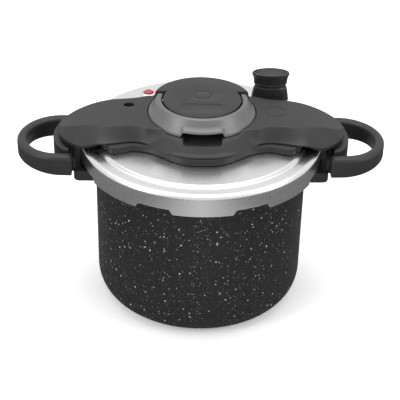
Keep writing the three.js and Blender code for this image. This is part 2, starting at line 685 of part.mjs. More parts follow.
function gripHandle() {
  const bottom = CAP_BOTTOM;
  const top = bottom + GRIP_HEIGHT;
  const bow = solid(ring([
    [GRIP_INNER_RADIUS, bottom],
    [GRIP_OUTER_RADIUS, bottom],
    [GRIP_OUTER_RADIUS, bottom + 2.5],
    [GRIP_OUTER_RADIUS - 2.5, bottom + 9],
    [GRIP_OUTER_RADIUS - 7, bottom + 15],
    [GRIP_INNER_RADIUS + 2.2, top],
    [GRIP_INNER_RADIUS, top - 1.2],
  ], 56));
  const kept = solid(block(-70, 70, -70, GRIP_PIVOT_Y, 0, 2 * top))
    .add(solid(alongX(rod(GRIP_END_RADIUS, -70, 70, 20), GRIP_PIVOT_Z).translate(0, GRIP_PIVOT_Y, 0)))
    .subtract(solid(block(-GRIP_END_INSIDE, GRIP_END_INSIDE, -8, 70, 0, 2 * top)));
  const notch = drawnAcross([
    [-GRIP_NOTCH_HALF - 4, bottom - 1], [GRIP_NOTCH_HALF + 4, bottom - 1],
    [GRIP_NOTCH_HALF, bottom + GRIP_NOTCH_HEIGHT], [-GRIP_NOTCH_HALF, bottom + GRIP_NOTCH_HEIGHT],
  ], 20).translate(0, -GRIP_OUTER_RADIUS, 0);
  const bore = alongX(rod(AXLE_RADIUS + GAP, -50.3, 50.3, 12), GRIP_PIVOT_Z).translate(0, GRIP_PIVOT_Y, 0);
  return geometryOf(bow.intersect(kept).subtract(solid(notch)).subtract(solid(bore)));
}

function gripAxle() {
  return alongX(rod(AXLE_RADIUS, -50, 50, 12), GRIP_PIVOT_Z).translate(0, GRIP_PIVOT_Y, 0);
}

// A drum whose end faces climb in small steps over a quarter turn, which lets the arms in.
function lockCam() {
  let cam = null;
  for (let turn = CAM_STEP - 180; turn <= 180; turn += CAM_STEP) {
    const half = CAM_HALF_LENGTH - ARM_TRAVEL * THREE.MathUtils.clamp((turn + CAM_LEAD) / 90, 0, 1);
    const wedge = solid(sector(AXLE_RADIUS + GAP, CAM_RADIUS, CAM_STEP / 2 + 0.01, -half, half, turn, 1));
    cam = cam ? cam.add(wedge) : wedge;
  }
  const axis = geometryOf(cam).rotateY(Math.PI / 2).rotateX(Math.PI / 2);
  return axis.translate(0, GRIP_PIVOT_Y, GRIP_PIVOT_Z);
}

// ---- lock arms ----

function lockArm() {
  const top = ARM_BOTTOM + ARM_THICKNESS;
  const start = CAM_HALF_LENGTH + 0.6;
  const slotEnd = SPRING_POST_X + 2 + ARM_TRAVEL + 1;
  const low = ARM_BOTTOM - ARM_STEP_DROP;
  const endHeight = GRIP_PIVOT_Z - AXLE_RADIUS - 2;
  const stepEnd = ARM_STEP_X + ARM_THICKNESS;
  return geometryOf(solid(block(start, stepEnd, -ARM_HALF_WIDTH, ARM_HALF_WIDTH, ARM_BOTTOM, top))
    .add(solid(block(ARM_STEP_X, stepEnd, -ARM_HALF_WIDTH, ARM_HALF_WIDTH, low, top)))
    .add(solid(block(ARM_STEP_X, ARM_TIP, -ARM_HALF_WIDTH, ARM_HALF_WIDTH, low, low + ARM_THICKNESS)))
    .subtract(solid(block(SPRING_SEAT_X, slotEnd, -3.4, 3.4, ARM_BOTTOM - 1, top + 1)))
    .add(solid(block(start, start + 2, -ARM_HALF_WIDTH, ARM_HALF_WIDTH, ARM_BOTTOM, endHeight)))
    .add(solid(block(SPRING_SEAT_X - 2, SPRING_SEAT_X, -3, 3, ARM_BOTTOM, ARM_BOTTOM + 5)))
    .add(solid(block(ARM_TIP - ARM_THICKNESS, ARM_TIP, -6, 6, ARM_TIP_BOTTOM, low + ARM_THICKNESS))));
}

function lockSpring() {
  const length = SPRING_POST_X - SPRING_SEAT_X - 4 * SPRING_WIRE;
  return coil(SPRING_RADIUS, SPRING_WIRE, length, 5)
    .rotateY(Math.PI / 2)
    .translate(SPRING_SEAT_X + 2 * SPRING_WIRE, 0, ARM_BOTTOM + SPRING_RADIUS + SPRING_WIRE + 0.2);
}

// ---- fittings on the lid ----

const VALVE_SKIRT_BOTTOM = LID_TOP + VALVE_SKIRT_LIFT;
const VALVE_SPLIT = VALVE_SKIRT_BOTTOM + VALVE_SKIRT_HEIGHT;
const VALVE_TOP = VALVE_SPLIT + GAP + VALVE_KNOB_HEIGHT;

function valvePipe() {
  return ring([
    [1.5, LID_UNDER - 6],
    [PIPE_RADIUS, LID_UNDER - 6],
    [PIPE_RADIUS, LID_TOP + GAP],
    [8, LID_TOP + GAP],
    [8, LID_TOP + 2.5],
    [PIPE_RADIUS, LID_TOP + 3.5],
    [PIPE_RADIUS, VALVE_SPLIT - 5],
    [1.5, VALVE_SPLIT - 3.5],
  ], 16);
}

function hexNut(inner, across, bottom, top) {
  const bore = rod(inner, bottom - 1, top + 1, 16);
  return geometryOf(solid(rod(across / 2, bottom, top, 6)).subtract(solid(bore)));
}

// The operating valve is oval in plan, round only in its bore.
function flattened(geometry) {
  return geometry.scale(1, VALVE_FLATTENING, 1);
}

function valveSkirt() {
  const bottom = VALVE_SKIRT_BOTTOM;
  const outside = turned([
    [0, bottom],
    [VALVE_RADIUS, bottom],
    [VALVE_RADIUS - 1, bottom + 8],
    [VALVE_WAIST_RADIUS, VALVE_SPLIT],
    [0, VALVE_SPLIT],
  ], 28);
  const inside = turned([
    [0, bottom - 1],
    [VALVE_RADIUS - 2.4, bottom - 1],
    [VALVE_WAIST_RADIUS - 3, VALVE_SPLIT - 3],
    [0, VALVE_SPLIT - 3],
  ], 28);
  return geometryOf(solid(flattened(outside))
    .subtract(solid(flattened(inside)))
    .subtract(solid(rod(PIPE_RADIUS + GAP, bottom, VALVE_SPLIT + 1))));
}

function valveSelector() {
  const bottom = VALVE_SPLIT + GAP;
  return flattened(turned([
    [0, bottom],
    [VALVE_WAIST_RADIUS, bottom],
    [VALVE_WAIST_RADIUS + 0.4, bottom + 5],
    [VALVE_RADIUS - 1.2, VALVE_TOP - 6],
    [VALVE_RADIUS, VALVE_TOP - 3.6],
    [VALVE_RADIUS - 0.8, VALVE_TOP - 1],
    [VALVE_RADIUS - 2.6, VALVE_TOP],
    [VALVE_RADIUS - 4, VALVE_TOP],
    [VALVE_RADIUS - 4, VALVE_TOP - 1.5],
    [0, VALVE_TOP - 1.5],
  ], 28));
}

function valveDisc() {
  return flattened(rod(VALVE_RADIUS - 4 - 2 * GAP, VALVE_TOP - 1.5 + GAP, VALVE_TOP - 0.4, 28));
}

function valveWeight() {
  const body = flattened(rod(VALVE_WAIST_RADIUS - 4, VALVE_SPLIT - 11, VALVE_SPLIT - 3 - GAP, 20));
  return geometryOf(solid(body).subtract(solid(rod(PIPE_RADIUS + 2 * GAP, 0, VALVE_TOP))));
}

// A round seat on a small flat plate that reaches left and forward from it.
function indicatorBush() {
  const seat = ring([
    [2.8, LID_UNDER - 6],
    [4, LID_UNDER - 6],
    [4, LID_TOP + GAP],
    [9, LID_TOP + GAP],
    [8.4, LID_TOP + 2.6],
    [6.2, LID_TOP + 3],
    [5.6, LID_TOP + 1.6],
    [2.8, LID_TOP + 1.6],
  ]);
  const outline = shapeOf([[-9, -8], [-6, -11], [4, -11], [8, -7], [8, 2], [0, 6], [-5, 6], [-9, 2]]);
  const plate = raised(outline, LID_TOP + GAP, LID_TOP + 1.6);
  return geometryOf(solid(plate).subtract(solid(rod(7, 0, 2 * LID_TOP))).add(solid(seat)));
}

function indicatorPin() {
  return turned([
    [0, LID_UNDER - 8],
    [2.4, LID_UNDER - 8],
    [2.4, LID_TOP + 1.6 + GAP],
    [5.1, LID_TOP + 1.6 + GAP],
    [5.1, LID_TOP + 3.6],
    [3.8, LID_TOP + 4.4],
    [0, LID_TOP + 4.6],
  ]);
}

function lockPin() {
  return turned([
    [0, LID_UNDER - 8],
    [2, LID_UNDER - 8],
    [2, COVER_BOTTOM + 5.5],
    [1.2, COVER_BOTTOM + 6.5],
    [0, COVER_BOTTOM + 6.5],
  ], 12);
}

function safetyBody() {
  return ring([
    [2.6, LID_UNDER - 7],
    [4.6, LID_UNDER - 7],
    [4.6, LID_TOP + GAP],
    [8, LID_TOP + GAP],
    [8, LID_TOP + 9],
    [6.6, LID_TOP + 10.4],
    [2.6, LID_TOP + 10.4],
    [2.6, LID_TOP + 8.6],
    [5.4, LID_TOP + 8.6],
    [5.4, LID_TOP + 1.4],
    [2.6, LID_TOP + 1.4],
  ]);
}

function safetyPlunger() {
  return turned([
    [0, LID_UNDER - 8],
    [2.1, LID_UNDER - 8],
    [2.1, LID_TOP + 1.8],
    [4.9, LID_TOP + 1.8],
    [4.9, LID_TOP + 2.8],
    [2.1, LID_TOP + 2.8],
    [2.1, LID_TOP + 11.4],
    [0, LID_TOP + 11.8],
  ], 14);
}

// ---- assembly ----

const AT_VALVE = [VALVE_X, VALVE_Y, 0];
const AT_INDICATOR = [INDICATOR_X, INDICATOR_Y, 0];
const AT_LOCK_PIN = [LOCK_PIN_X, LOCK_PIN_Y, 0];
const AT_SAFETY = [0, SAFETY_Y, 0];

add('pot_body', potBody(), COATING);
add('base_disc', rod(BASE_DISC_RADIUS, 0, BASE_DISC_THICKNESS, ROUND), BRIGHT_STEEL);
for (const [side, word] of [[-1, 'left'], [1, 'right']]) {
  add(`bracket_${word}`, mirrored(geometryOf(bracket()), side), BLACK_PLASTIC);
  add(`bracket_stud_${word}`, mirrored(bracketStud(), side), SPRING_STEEL);
  add(`bracket_screw_${word}`, mirrored(bracketScrew(), side), SPRING_STEEL);
  add(`handle_pin_${word}`, mirrored(handlePin(), side), SPRING_STEEL);
  add(`handle_loop_${word}`, mirrored(handleLoop(), side), BLACK_PLASTIC);
  add(`lock_arm_${word}`, mirrored(lockArm(), side), SPRING_STEEL);
  add(`lock_spring_${word}`, mirrored(lockSpring(), side), SPRING_STEEL);
}
add('lid_gasket', gasket(), SILICONE);
add('lid_shell', lidShell(), BRIGHT_STEEL);
add('bridge_base', bridgeBase(), BLACK_PLASTIC);
add('bridge_cover', bridgeCover(), BLACK_PLASTIC);
BRIDGE_SCREWS.forEach((place, i) => {
  const piece = screw(4, LID_UNDER - GAP - 2.2, LID_UNDER - GAP, BASE_TOP - 1 - GAP);
  add(`bridge_screw_${i + 1}`, piece, SPRING_STEEL, [...place, 0]);
});
COVER_SCREWS.forEach((place, i) => {
  const piece = screw(4, BASE_BOTTOM + 0.4, BASE_BOTTOM + 2.3, COVER_BOTTOM + 2.6);
  add(`cover_screw_${i + 1}`, piece, SPRING_STEEL, [...place, 0]);
});
add('hub_cap', hubCap(), BLACK_PLASTIC);
add('grip_handle', gripHandle(), SATIN_GREY);
add('grip_axle', gripAxle(), SPRING_STEEL);
add('lock_cam', lockCam(), BLACK_PLASTIC);
add('valve_pipe', valvePipe(), BRIGHT_STEEL, AT_VALVE);
add('valve_nut', hexNut(PIPE_RADIUS + GAP, 16, LID_UNDER - GAP - 4, LID_UNDER - GAP), BRIGHT_STEEL, AT_VALVE);
add('valve_skirt', valveSkirt(), BLACK_PLASTIC, AT_VALVE);
add('valve_weight', valveWeight(), SPRING_STEEL, AT_VALVE);
add('valve_selector', valveSelector(), BLACK_PLASTIC, AT_VALVE);
add('valve_disc', valveDisc(), BLACK_PLASTIC, AT_VALVE);
add('indicator_bush', indicatorBush(), BRIGHT_STEEL, AT_INDICATOR);
add('indicator_nut', hexNut(4 + GAP, 14, LID_UNDER - GAP - 3, LID_UNDER - GAP), BRIGHT_STEEL, AT_INDICATOR);
add('indicator_pin', indicatorPin(), RED_PLASTIC, AT_INDICATOR);
add('lock_pin_bush', tube(4, 2.5, LID_UNDER - 5, BASE_TOP - 0.5), BRIGHT_STEEL, AT_LOCK_PIN);
add('lock_pin', lockPin(), BRIGHT_STEEL, AT_LOCK_PIN);
add('safety_valve_body', safetyBody(), BRASS, AT_SAFETY);
add('safety_valve_nut', hexNut(4.6 + GAP, 16, LID_UNDER - GAP - 4, LID_UNDER - GAP), BRASS, AT_SAFETY);
add('safety_plunger', safetyPlunger(), BRIGHT_STEEL, AT_SAFETY);
add('safety_spring', coil(3.9, 0.5, 4.6, 4).translate(0, 0, LID_TOP + 3.4), SPRING_STEEL, AT_SAFETY);

export default group;
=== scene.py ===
from math import atan2, cos, exp, hypot, pi, radians, sin, sqrt

import bmesh
import bpy
from mathutils import Matrix, Vector


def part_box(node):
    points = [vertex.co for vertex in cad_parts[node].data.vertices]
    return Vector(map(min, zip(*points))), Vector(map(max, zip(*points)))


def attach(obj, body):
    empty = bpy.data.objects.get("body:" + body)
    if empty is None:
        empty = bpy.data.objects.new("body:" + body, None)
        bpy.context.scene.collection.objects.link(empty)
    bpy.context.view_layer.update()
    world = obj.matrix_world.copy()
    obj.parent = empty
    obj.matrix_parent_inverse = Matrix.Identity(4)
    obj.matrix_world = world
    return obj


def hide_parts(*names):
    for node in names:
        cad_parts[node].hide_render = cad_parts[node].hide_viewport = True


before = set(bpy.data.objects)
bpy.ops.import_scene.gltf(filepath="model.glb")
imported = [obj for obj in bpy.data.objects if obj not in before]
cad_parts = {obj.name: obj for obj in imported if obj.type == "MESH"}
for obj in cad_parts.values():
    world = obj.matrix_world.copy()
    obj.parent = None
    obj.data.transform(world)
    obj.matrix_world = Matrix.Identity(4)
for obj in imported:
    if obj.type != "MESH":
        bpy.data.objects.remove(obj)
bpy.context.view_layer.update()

MM = 0.001
OVER = 300  # cutters end up here, above the whole object

# ---- Pot ----
# A drawn aluminium pot with a rounded bottom corner and a small flange at the rim, coated inside
# and out in a dark stone-look non-stick with pale flecks. Eight lugs under the rim hold the lid.

POT_RADIUS = 113
POT_INNER_RADIUS = 110
POT_BOTTOM = 1.5
POT_FLOOR = 6.5
RIM_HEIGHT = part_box("pot_body")[1][2] / MM
RIM_RADIUS = 116
LUG_PITCH = 45
LUG_HALF_ANGLE = 8
LUG_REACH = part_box("pot_body")[1][0] / MM
LUG_LOW, LUG_HIGH = 168.7, 172.7


class Term:
    """One socket of a finish, which can stand in a sum or a product."""

    def __init__(self, finish, node, out):
        self.finish, self.node, self.socket = finish, node, node.outputs[out]

    def other(self, out):
        return Term(self.finish, self.node, out)

    def math(self, operation, *values, clamp=False):
        settings = {"operation": operation, "use_clamp": clamp}
        return self.finish.node("ShaderNodeMath", settings, dict(enumerate(values)))

    def __add__(self, value):
        return self.math("ADD", self, value)

    def __radd__(self, value):
        return self.math("ADD", value, self)

    def __sub__(self, value):
        return self.math("SUBTRACT", self, value)

    def __rsub__(self, value):
        return self.math("SUBTRACT", value, self)

    def __mul__(self, value):
        return self.math("MULTIPLY", self, value)

    def __rmul__(self, value):
        return self.math("MULTIPLY", value, self)

    def held(self):
        """The same value, kept between 0 and 1."""
        return self.math("ADD", self, 0, clamp=True)


class Finish:
    """A material whose nodes are written as sums and calls."""

    def __init__(self, name, **sockets):
        self.material = bpy.data.materials.new(name)
        self.material.use_nodes = True
        self.tree = self.material.node_tree
        self.shader = self.tree.nodes["Principled BSDF"]
        self.set(**sockets)
        self.place = self.node("ShaderNodeTexCoord", {}, {}, "Object")

    def set(self, **sockets):
        for key, value in sockets.items():
            self.feed(self.shader.inputs[key.replace("_", " ")], value)

    def feed(self, socket, value):
        if isinstance(value, Term):
            self.tree.links.new(value.socket, socket)
        else:
            socket.default_value = value

    def node(self, kind, settings, inputs, out=0):
        node = self.tree.nodes.new(kind)
        for key, value in settings.items():
            setattr(node, key, value)
        for key, value in inputs.items():
            self.feed(node.inputs[key], value)
        return Term(self, node, out)

    def stretched(self, x, y, z):
        return self.node("ShaderNodeVectorMath", {"operation": "MULTIPLY"}, {0: self.place, 1: (x, y, z)})

    def noise(self, scale, detail=3, place=None):
        inputs = {"Vector": place or self.place, "Scale": scale, "Detail": detail}
        return self.node("ShaderNodeTexNoise", {}, inputs)

    def blend(self, factor, first, second):
        return self.node("ShaderNodeMix", {"data_type": "RGBA"}, {0: factor, 6: first, 7: second}, 2)

    def relief(self, height, distance, strength=0.5):
        bump = self.node("ShaderNodeBump", {}, {"Height": height, "Distance": distance, "Strength": strength})
        self.set(Normal=bump)


def grey(value):
    return (value, value, value, 1)


def rounded(corners, steps=6, closed=True):
    """A line through corners (x, y). A corner given as (x, y, cut) is rounded off, over a length
    of cut on both its sides."""
    line = []
    count = len(corners)
    for i, (x, y, *cut) in enumerate(corners):
        here = Vector((x, y))
        if not cut or (not closed and i in (0, count - 1)):
            line.append(here)
            continue
        before = Vector(corners[i - 1][:2]) - here
        after = Vector(corners[(i + 1) % count][:2]) - here
        start = here + before.normalized() * min(cut[0], before.length * 0.5)
        end = here + after.normalized() * min(cut[0], after.length * 0.5)
        for k in range(steps + 1):
            t = k / steps
            line.append(start.lerp(here, t).lerp(here.lerp(end, t), t))
    return line


def piece_from(name, bm, sharp=32):
    """Turns a bmesh drawn in millimetres into a smooth-shaded piece in metres."""
    bmesh.ops.remove_doubles(bm, verts=bm.verts, dist=1e-4)
    bmesh.ops.recalc_face_normals(bm, faces=bm.faces)
    bmesh.ops.scale(bm, verts=bm.verts, vec=(MM, MM, MM))
    mesh = bpy.data.meshes.new(name)
    bm.to_mesh(mesh)
    bm.free()
    piece = bpy.data.objects.new(name, mesh)
    bpy.context.scene.collection.objects.link(piece)
    smooth(piece, sharp)
    return piece


def smooth(piece, sharp=32):
    piece.data.shade_smooth()
    piece.data.set_sharp_from_angle(angle=radians(sharp))


def spin_outline(bm, outline, steps, sweep=360, start=0, closed=True):
    """Turns an outline of (radius, height) about Z; start is the angle it begins at."""
    turn = Matrix.Rotation(radians(start), 3, "Z")
    verts = [bm.verts.new(turn @ Vector((r, 0, z))) for r, z in outline]
    pairs = list(zip(verts, verts[1:])) + ([(verts[-1], verts[0])] if closed else [])
    edges = [bm.edges.new(pair) for pair in pairs]
    full = sweep == 360
    if not full:
        bm.faces.new(verts)
    spun = bmesh.ops.spin(bm, geom=verts + edges, cent=(0, 0, 0), axis=(0, 0, 1), angle=radians(sweep),
                          steps=steps, use_merge=full, use_duplicate=False)
    if not full:
        end_edges = [g for g in spun["geom_last"] if isinstance(g, bmesh.types.BMEdge)]
        bmesh.ops.contextual_create(bm, geom=end_edges)
    return verts


def turned(name, outline, steps=128, at=(0, 0), closed=True):
    """A turned piece, with its axis upright at a place on the lid."""
    bm = bmesh.new()
    spin_outline(bm, outline, steps, closed=closed)
    bmesh.ops.translate(bm, verts=bm.verts, vec=(*at, 0))
    return piece_from(name, bm)


def dress(piece, finish, body, slot, *nodes):
    """Gives a piece its finish and its body, and hides the CAD nodes that it stands for."""
    piece.data.materials.clear()
    piece.data.materials.append(finish.material)
    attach(piece, body)
    if nodes:
        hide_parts(*nodes)


def redress(finish, *nodes):
    """Gives CAD nodes whose shape is right their finish."""
    for node in nodes:
        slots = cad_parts[node].material_slots
        for place in slots:
            place.material = finish.material


def corner(radius, floor, width, height, steps=14):
    """The rounded corner from a floor up to a wall, as (radius, height)."""
    turns = [pi / 2 * i / steps for i in range(steps + 1)]
    return [(radius - width * (1 - sin(t)), floor + height * (1 - cos(t))) for t in turns]


# cells per metre, the largest fleck in a cell, and how strongly these flecks show
FLECK_SIZES = ((190, 0.25, 1.0), (320, 0.25, 0.7), (560, 0.28, 0.4))
FLECK_EDGE = 14
FLECK_COLOUR = (0.42, 0.42, 0.41, 1)

stone = Finish("stone_look_coating", Roughness=0.5, Specular_IOR_Level=0.3)
flecks = 0
for scale, largest, strength in FLECK_SIZES:
    cell = stone.node("ShaderNodeTexVoronoi", {}, {"Vector": stone.place, "Scale": scale})
    chance = stone.node("ShaderNodeSeparateColor", {}, {0: cell.other("Color")})
    size = largest * (0.3 + 0.7 * chance)
    shade = 0.1 + 0.9 * chance.other("Green") * chance.other("Green")
    fleck = ((size - cell) * FLECK_EDGE).held() * shade * strength
    flecks = fleck + flecks
flecks = flecks.held()
cloud = stone.noise(14, 4)
grain = stone.noise(900, 2)
base = stone.blend((0.5 * cloud + 0.5 * grain).held(), grey(0.006), grey(0.013))
stone.set(Base_Color=stone.blend(flecks, base, FLECK_COLOUR), Roughness=0.42 + 0.16 * grain + 0.1 * flecks)
stone.relief(0.6 * grain + 0.8 * flecks, 0.0002)

bm = bmesh.new()
outline = [(0, POT_BOTTOM)] + corner(POT_RADIUS, POT_BOTTOM, 20, 27)
outline += [(POT_RADIUS, 60), (POT_RADIUS, 110), (POT_RADIUS, LUG_LOW), (POT_RADIUS, LUG_HIGH - 0.2)]
outline += rounded([(POT_RADIUS, LUG_HIGH), (RIM_RADIUS, 174.5, 0.6), (RIM_RADIUS, RIM_HEIGHT, 1.2),
                    (POT_INNER_RADIUS, RIM_HEIGHT, 1.5), (POT_INNER_RADIUS, 170)], closed=False)
outline += [(POT_INNER_RADIUS, 110)] + corner(POT_INNER_RADIUS, POT_FLOOR, 18.5, 24)[::-1] + [(0, POT_FLOOR)]
spin_outline(bm, outline, 360, closed=False)
bmesh.ops.remove_doubles(bm, verts=bm.verts, dist=1e-4)


def off_lug(x, y):
    """How many degrees a place is from the middle of the nearest lug."""
    turn = (atan2(y, x) * 180 / pi + 90) % LUG_PITCH
    return min(turn, LUG_PITCH - turn)


lugs = []
for face in bm.faces:
    x, y, z = face.calc_center_median()
    if LUG_LOW < z < LUG_HIGH - 0.1 and hypot(x, y) > POT_RADIUS - 1 and off_lug(x, y) < LUG_HALF_ANGLE:
        lugs.append(face)
grown = bmesh.ops.extrude_face_region(bm, geom=lugs)["geom"]
for vert in (g for g in grown if isinstance(g, bmesh.types.BMVert)):
    reach = LUG_REACH / hypot(vert.co.x, vert.co.y)
    vert.co.x *= reach
    vert.co.y *= reach
bmesh.ops.delete(bm, geom=lugs, context="FACES")
pot = piece_from("pot", bm)
dress(pot, stone, "pot", "stone_coating", "pot_body")

# ---- Base disc ----
# A thin steel disc pressed into the pot's underside, which the pot stands on and which lets it
# heat on an induction hob. It is face-turned, so fine rings show on it.

steel = Finish("polished_steel", Metallic=1.0, Roughness=0.2)
radius = steel.node("ShaderNodeVectorMath", {"operation": "LENGTH"}, {0: steel.stretched(1, 1, 0)}, "Value")
height = steel.node("ShaderNodeSeparateXYZ", {}, {0: steel.place}, 2)
along = steel.node("ShaderNodeCombineXYZ", {}, {0: radius, 2: height})
rings = steel.noise(1700, 2, along)
smears = steel.noise(26, 3)
steel.set(Base_Color=steel.blend(rings, grey(0.72), grey(0.84)), Roughness=0.2 + 0.08 * rings + 0.05 * smears)
steel.relief(rings, 0.00002, 0.2)

DISC_RADIUS, DISC_HEIGHT = 86, 1.2
outline = rounded([(0, 0), (DISC_RADIUS, 0, 0.5), (DISC_RADIUS, DISC_HEIGHT, 0.3), (0, DISC_HEIGHT)],
                  closed=False)
disc = turned("base_plate", outline, closed=False)
dress(disc, steel, "pot", "bright_steel", "base_disc")

# ---- Handle brackets ----
# Moulded black blocks screwed to studs on the pot's wall. Each has a round nose that cradles the
# bridge's end, an open groove for the lock bolt's tip, and a wide foot against the wall.

BRACKET_BOTTOM, BRACKET_TOP = 152, 186
BRACKET_HALF_WIDTH = 34.5
BRACKET_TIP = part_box("bracket_right")[1][0] / MM
LEDGE = 163.1
FOOT_ROOT, FOOT_REACH, FOOT_HALF_WIDTH = 93, 134, 42
SKIRT_SPACE = 136
NOSE_SPACE, NOSE_SEAT = 142.5, 176
SIDES = (("left", -1), ("right", 1))

black = Finish("black_moulding", Specular_IOR_Level=0.4)
grain = black.noise(2600, 2)
cloud = black.noise(30, 3)
black.set(Base_Color=black.blend(cloud, grey(0.014), grey(0.02)),
          Roughness=0.36 + 0.12 * grain + 0.08 * cloud)
black.relief(grain, 0.00006, 0.5)


def raise_plan(bm, plan, bottom, top, bevel=0, segments=4):
    """Raises a plan outline into a block, its top and bottom edges rounded."""
    floor = bm.faces.new([bm.verts.new((x, y, bottom)) for x, y in plan])
    grown = bmesh.ops.extrude_face_region(bm, geom=[floor])["geom"]
    lifted = [g for g in grown if isinstance(g, bmesh.types.BMVert)]
    bmesh.ops.translate(bm, verts=lifted, vec=(0, 0, top - bottom))
    if bevel:
        rims = [e for e in bm.edges if abs(e.verts[0].co.z - e.verts[1].co.z) < 1e-4]
        bmesh.ops.bevel(bm, geom=rims, offset=bevel, offset_type="OFFSET", affect="EDGES", segments=segments,
                        profile=0.5, material=-1, clamp_overlap=True)


def block(name, plan, bottom, top, bevel=0, segments=4):
    bm = bmesh.new()
    raise_plan(bm, plan, bottom, top, bevel, segments)
    return piece_from(name, bm)


def post(radius, bottom, top, at=(0, 0), steps=160):
    """A round cutter."""
    return turned("cutter", [(0, bottom), (radius, bottom), (radius, top), (0, top)], steps, at, closed=False)


def carve(piece, *cutters, operation="DIFFERENCE"):
    """Cuts pieces out of another, or joins or keeps their overlap, and leaves one mesh."""
    for cutter in cutters:
        cut = piece.modifiers.new("cut", "BOOLEAN")
        cut.operation, cut.solver, cut.object = operation, "EXACT", cutter
    result = piece.evaluated_get(bpy.context.evaluated_depsgraph_get())
    piece.data = bpy.data.meshes.new_from_object(result)
    piece.modifiers.clear()
    for cutter in cutters:
        bpy.data.objects.remove(cutter)
    smooth(piece)


def ease(piece, width, segments=3, angle=40):
    """Rounds a piece's sharp edges."""
    bevel = piece.modifiers.new("eased edges", "BEVEL")
    bevel.width, bevel.segments = width * MM, segments
    bevel.limit_method, bevel.angle_limit = "ANGLE", radians(angle)
    bevel.harden_normals = False
    result = piece.evaluated_get(bpy.context.evaluated_depsgraph_get())
    piece.data = bpy.data.meshes.new_from_object(result)
    piece.modifiers.clear()
    smooth(piece)


def half_turned(piece, side):
    """The left-hand piece is the right-hand one turned half round."""
    if side < 0:
        piece.data.transform(Matrix.Rotation(pi, 4, "Z"))


def arc(radius, start, end, steps, centre=(0, 0), squeeze=1):
    """Points of an arc, between two angles in degrees; squeeze widens it along Y."""
    turns = [radians(start + (end - start) * i / steps) for i in range(steps + 1)]
    return [(centre[0] + radius * cos(t), centre[1] + squeeze * radius * sin(t)) for t in turns]


for word, side in SIDES:
    nose_radius = 18
    nose = arc(nose_radius, -90, 90, 48, (BRACKET_TIP - nose_radius, 0), BRACKET_HALF_WIDTH / nose_radius)
    plan = [(POT_RADIUS, -BRACKET_HALF_WIDTH), *nose, (POT_RADIUS, BRACKET_HALF_WIDTH)]
    bracket = block(f"bracket_{word}_moulding", plan, LEDGE - 4, BRACKET_TOP, 1.4)
    foot_plan = rounded([(FOOT_ROOT, -FOOT_HALF_WIDTH), (FOOT_REACH, -FOOT_HALF_WIDTH, 8),
                         (FOOT_REACH, FOOT_HALF_WIDTH, 8), (FOOT_ROOT, FOOT_HALF_WIDTH)])
    foot = block("foot", foot_plan, BRACKET_BOTTOM, LEDGE, 0.8, 2)
    carve(bracket, foot, operation="UNION")
    carve(bracket, post(POT_RADIUS + 0.5, 0, OVER), post(SKIRT_SPACE, LEDGE, OVER),
          post(NOSE_SPACE, NOSE_SEAT, OVER))
    ease(bracket, 0.7)
    half_turned(bracket, side)
    dress(bracket, black, "pot", "black_plastic", f"bracket_{word}")

# ---- Bracket studs, screws and hinge pins ----
# Plain turned steel: studs welded to the wall, pan screws in counterbores, and the pins that the
# side handles fold on. They are almost wholly hidden in the mouldings.

plain_steel = Finish("plain_steel", Metallic=1.0, Roughness=0.35)
grain = plain_steel.noise(700, 3)
plain_steel.set(Base_Color=plain_steel.blend(grain, grey(0.42), grey(0.58)), Roughness=0.28 + 0.16 * grain)
plain_steel.relief(grain, 0.00004, 0.4)
for word, side in SIDES:
    redress(plain_steel, f"bracket_stud_{word}", f"bracket_screw_{word}", f"handle_pin_{word}")

# ---- Side handles ----
# Black loops moulded in one piece, with rounded edges, thinner towards the tip. Their inner ends
# sit on the hinge pins, so that the loops fold down against the pot for storage.

LOOP_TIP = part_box("handle_loop_right")[1][0] / MM
LOOP_HALF_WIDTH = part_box("handle_loop_right")[1][1] / MM
LOOP_CENTRE = 150
LOOP_HALF_HEIGHT = 12
LOOP_TAPER = 0.2
PIN_X, PIN_HEIGHT = 146.5, 172

for word, side in SIDES:
    inner = LOOP_HALF_WIDTH - 12
    outer_reach, inner_reach = LOOP_TIP - LOOP_CENTRE, LOOP_TIP - LOOP_CENTRE - 10.5
    root = PIN_X - LOOP_HALF_HEIGHT
    plan = [(root, -LOOP_HALF_WIDTH)]
    plan += arc(outer_reach, -90, 90, 72, (LOOP_CENTRE, 0), LOOP_HALF_WIDTH / outer_reach)
    plan += [(root, LOOP_HALF_WIDTH), (root, inner)]
    plan += arc(inner_reach, 90, -90, 60, (LOOP_CENTRE, 0), inner / inner_reach)
    plan += [(root, -inner)]
    bm = bmesh.new()
    raise_plan(bm, plan, PIN_HEIGHT - LOOP_HALF_HEIGHT, PIN_HEIGHT + LOOP_HALF_HEIGHT, 4.9, 7)
    for vert in bm.verts:
        beyond = max(0, (vert.co.x - PIN_X) / (LOOP_TIP - PIN_X))
        drop = PIN_HEIGHT + LOOP_HALF_HEIGHT - vert.co.z
        vert.co.z += drop * LOOP_TAPER * beyond
    loop = piece_from(f"side_handle_{word}", bm)
    # the inner ends are rounded off above and below the pin
    bm = bmesh.new()
    low, high = PIN_HEIGHT - LOOP_HALF_HEIGHT, PIN_HEIGHT + LOOP_HALF_HEIGHT
    profile = rounded([(LOOP_TIP + 5, low), (root, low, 6), (root, high, 6), (LOOP_TIP + 5, high)], steps=10)
    raise_plan(bm, profile, -60, 60)
    bmesh.ops.rotate(bm, verts=bm.verts, cent=(0, 0, 0), matrix=Matrix.Rotation(pi / 2, 3, "X"))
    carve(loop, piece_from("round_end", bm), operation="INTERSECT")
    ease(loop, 1.0, 3, 50)
    half_turned(loop, side)
    dress(loop, black, f"handle_{word}", "black_plastic", f"handle_loop_{word}")

# ---- Gasket ----
# A ring of grey silicone with a lip, pressed between the pot's rim and the lid. It stays in the
# lid when that is lifted.

